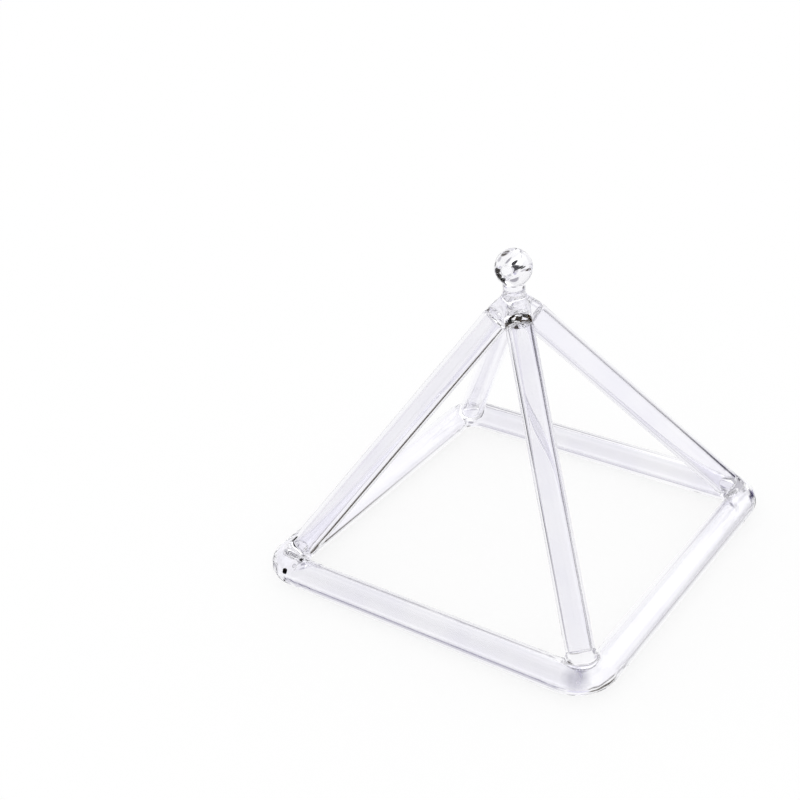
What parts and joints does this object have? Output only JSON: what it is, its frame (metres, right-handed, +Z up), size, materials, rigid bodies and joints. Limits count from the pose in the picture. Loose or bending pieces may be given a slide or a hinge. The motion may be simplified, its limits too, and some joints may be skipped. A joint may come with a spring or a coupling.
{
  "type": "crystal singing pyramid",
  "caption": "Open square pyramid of hollow glass tubes: a square base ring with bent corners, four sealed risers, and a drilled ball at the apex to hang it by; it rings when it is struck.",
  "frame": {"origin": "middle of the square base, on the plane the base tubes rest on", "axes": "+Z up through the apex, +X to the right side and -Y to the front side of the base"},
  "size_m": [0.254, 0.254, 0.2175],
  "materials": {
    "clear_quartz": "clear flame-worked fused quartz, smooth and glossy, with a faint lavender tint"
  },
  "bodies": {
    "root": {"base_tube_front": "clear_quartz", "base_tube_right": "clear_quartz", "base_tube_rear": "clear_quartz", "base_tube_left": "clear_quartz", "corner_elbow_front_left": "clear_quartz", "corner_elbow_front_right": "clear_quartz", "corner_elbow_rear_right": "clear_quartz", "corner_elbow_rear_left": "clear_quartz", "riser_foot_front_left": "clear_quartz", "riser_foot_front_right": "clear_quartz", "riser_foot_rear_right": "clear_quartz", "riser_foot_rear_left": "clear_quartz", "riser_tube_front_left": "clear_quartz", "riser_tube_front_right": "clear_quartz", "riser_tube_rear_right": "clear_quartz", "riser_tube_rear_left": "clear_quartz", "riser_head_front_left": "clear_quartz", "riser_head_front_right": "clear_quartz", "riser_head_rear_right": "clear_quartz", "riser_head_rear_left": "clear_quartz", "apex_core": "clear_quartz", "hanger_stem": "clear_quartz", "hanger_ball": "clear_quartz"}
  },
  "joints": []
}
